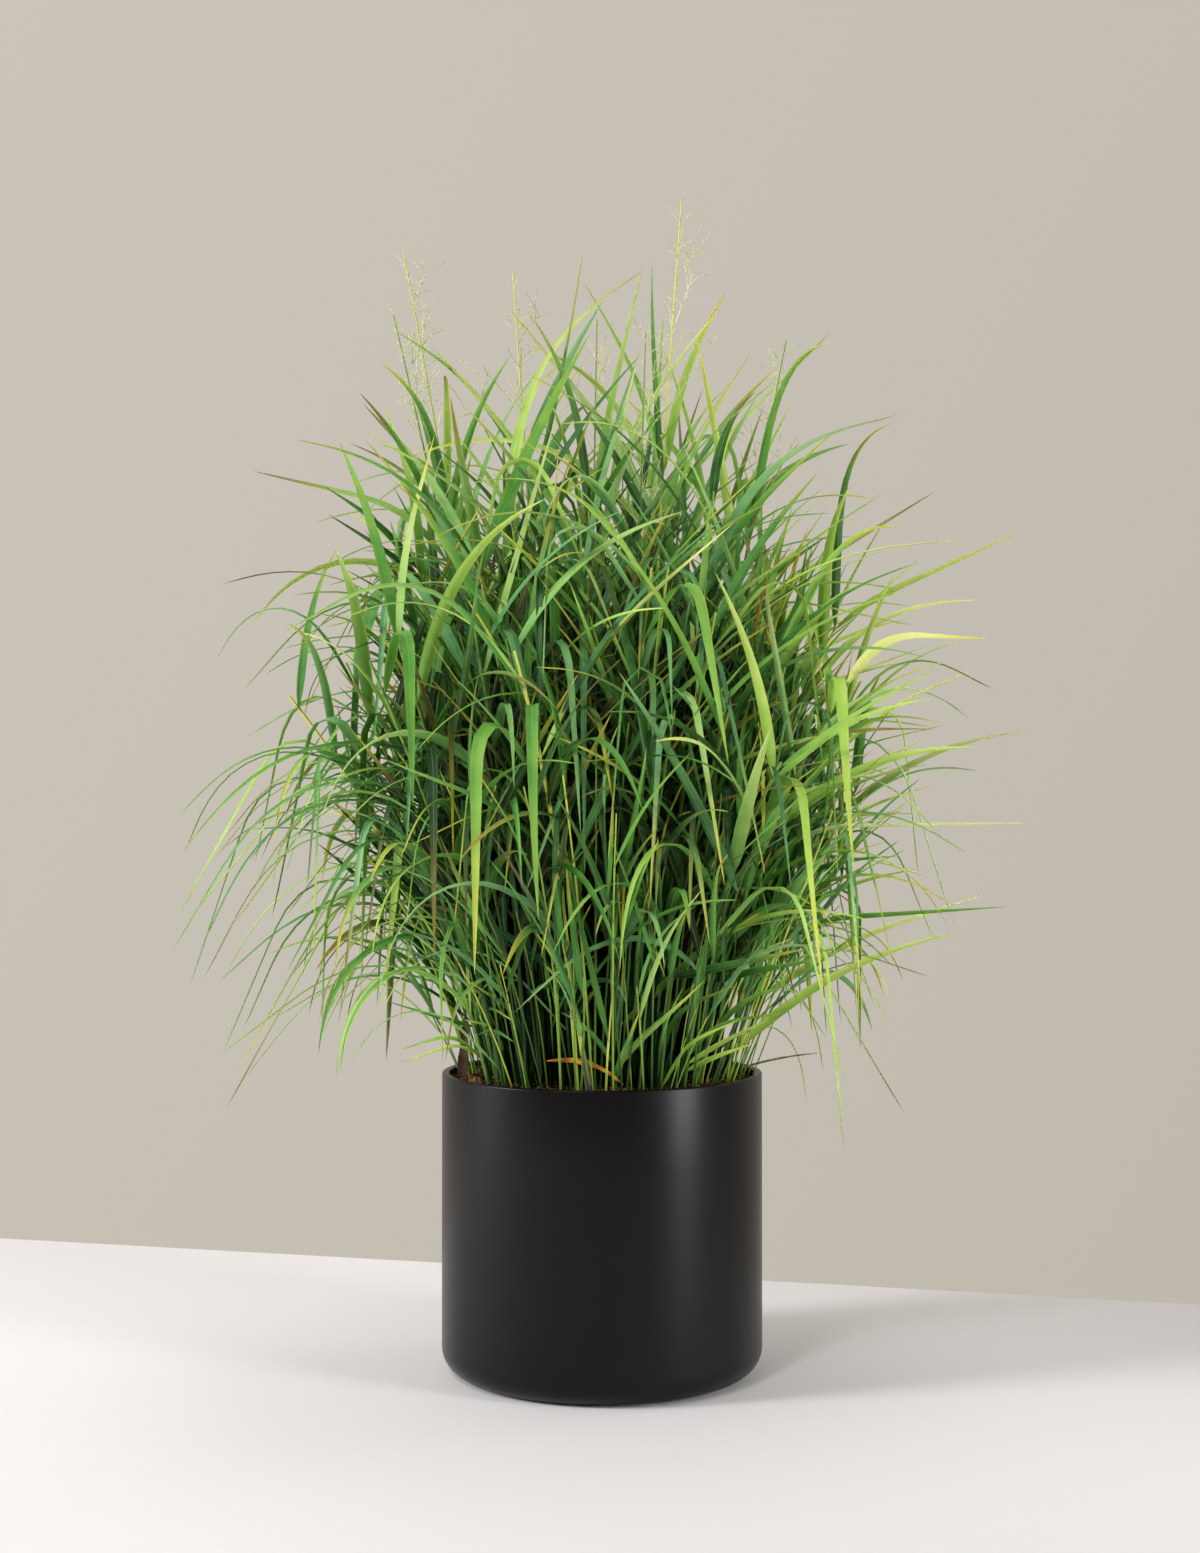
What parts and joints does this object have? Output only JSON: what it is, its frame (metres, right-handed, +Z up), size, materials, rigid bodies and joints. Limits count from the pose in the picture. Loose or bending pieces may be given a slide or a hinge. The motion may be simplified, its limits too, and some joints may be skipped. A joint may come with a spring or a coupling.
{
  "type": "potted switchgrass",
  "caption": "Clump of switchgrass with arching leaves and airy panicles, growing in potting mix in a plain round-bottomed black cylinder planter.",
  "frame": {"origin": "centre of the planter's flat base, on the surface that it stands on", "axes": "+Z up along the planter's axis; -Y towards the viewer's side, where the folded leaves hang; +X to the viewer's right, where the stiffer leaves reach out"},
  "size_m": [0.928, 0.8124, 1.2622],
  "materials": {
    "planter": "satin black",
    "soil": "coarse bark mix",
    "grass": "living leaf, soft sheen",
    "dried": "dry, matt"
  },
  "bodies": {
    "root": {"planter": "planter", "soil": "soil", "dried_sheath": "dried", "culm_01": "grass", "culm_02": "grass", "culm_03": "grass", "culm_04": "grass", "culm_05": "grass", "culm_06": "grass", "culm_07": "grass", "culm_08": "grass", "culm_09": "grass", "culm_10": "grass", "culm_11": "grass", "culm_12": "grass", "culm_13": "grass", "culm_14": "grass", "culm_15": "grass", "culm_16": "grass", "culm_17": "grass", "culm_18": "grass", "culm_19": "grass", "culm_20": "grass", "culm_21": "grass", "culm_22": "grass", "culm_23": "grass", "culm_24": "grass", "culm_25": "grass", "culm_26": "grass", "culm_27": "grass", "culm_28": "grass", "culm_29": "grass", "culm_30": "grass", "culm_31": "grass", "culm_32": "grass", "culm_33": "grass", "culm_34": "grass", "culm_35": "grass", "culm_36": "grass", "culm_37": "grass", "culm_38": "grass", "culm_39": "grass", "culm_40": "grass", "culm_41": "grass", "culm_42": "grass", "culm_43": "grass", "culm_44": "grass", "culm_45": "grass", "culm_46": "grass", "culm_47": "grass", "culm_48": "grass", "culm_49": "grass", "culm_50": "grass", "culm_51": "grass", "culm_52": "grass", "culm_53": "grass", "culm_54": "grass", "culm_55": "grass", "culm_56": "grass"}
  },
  "joints": []
}
